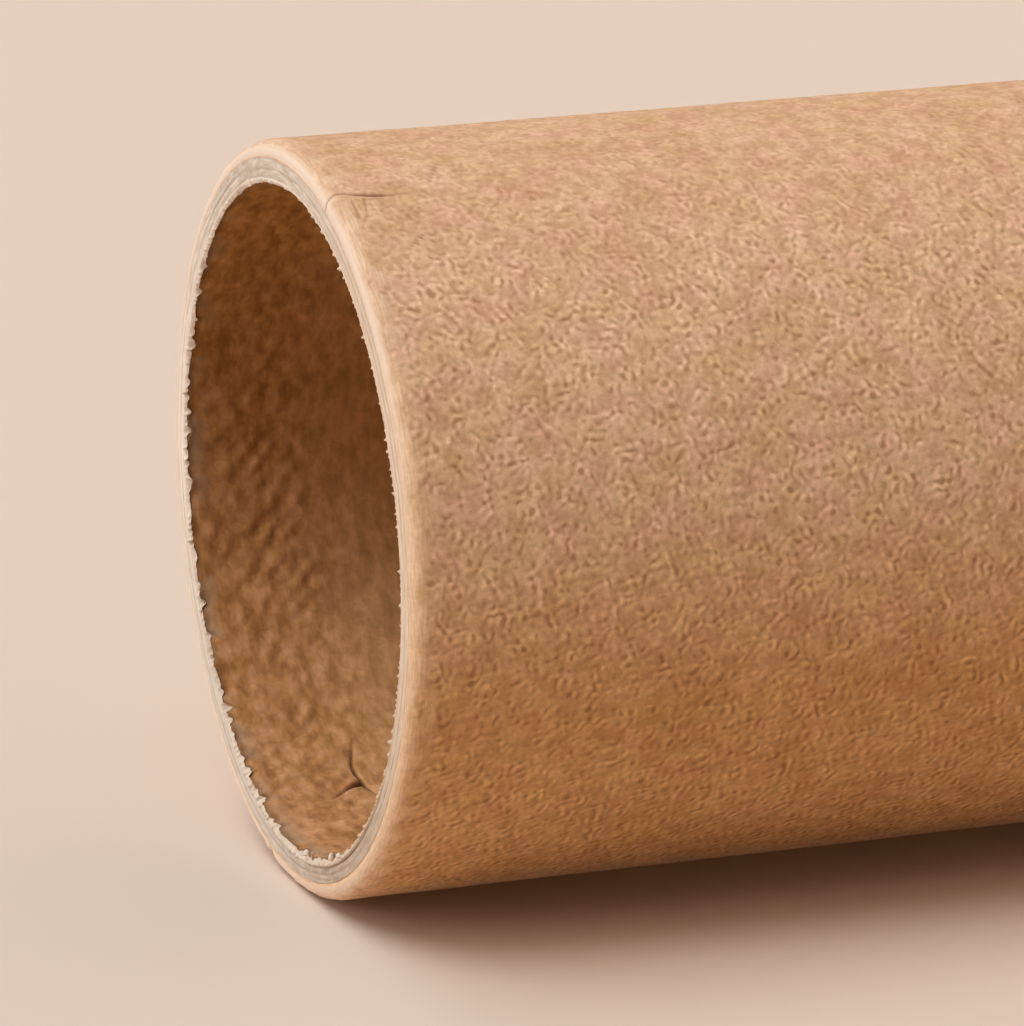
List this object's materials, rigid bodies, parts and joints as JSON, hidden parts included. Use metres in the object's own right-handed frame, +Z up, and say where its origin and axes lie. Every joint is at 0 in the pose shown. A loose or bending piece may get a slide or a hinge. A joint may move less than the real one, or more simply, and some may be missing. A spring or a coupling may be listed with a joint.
{
  "type": "mailing tube",
  "caption": "Spiral-wound kraft cardboard mailing tube, open at both ends, with a worn cut end, a ragged inner lip and rolled outer edges.",
  "frame": {"origin": "centre of the plain lower end, on the surface that the tube stands on", "axes": "+Z up along the tube's axis, from the plain end to the worn cut end"},
  "size_m": [0.0564, 0.0564, 0.33],
  "materials": {
    "kraft_board": "matt kraft paper over a wound grey board core"
  },
  "bodies": {
    "root": {"tube": "kraft_board"}
  },
  "joints": []
}
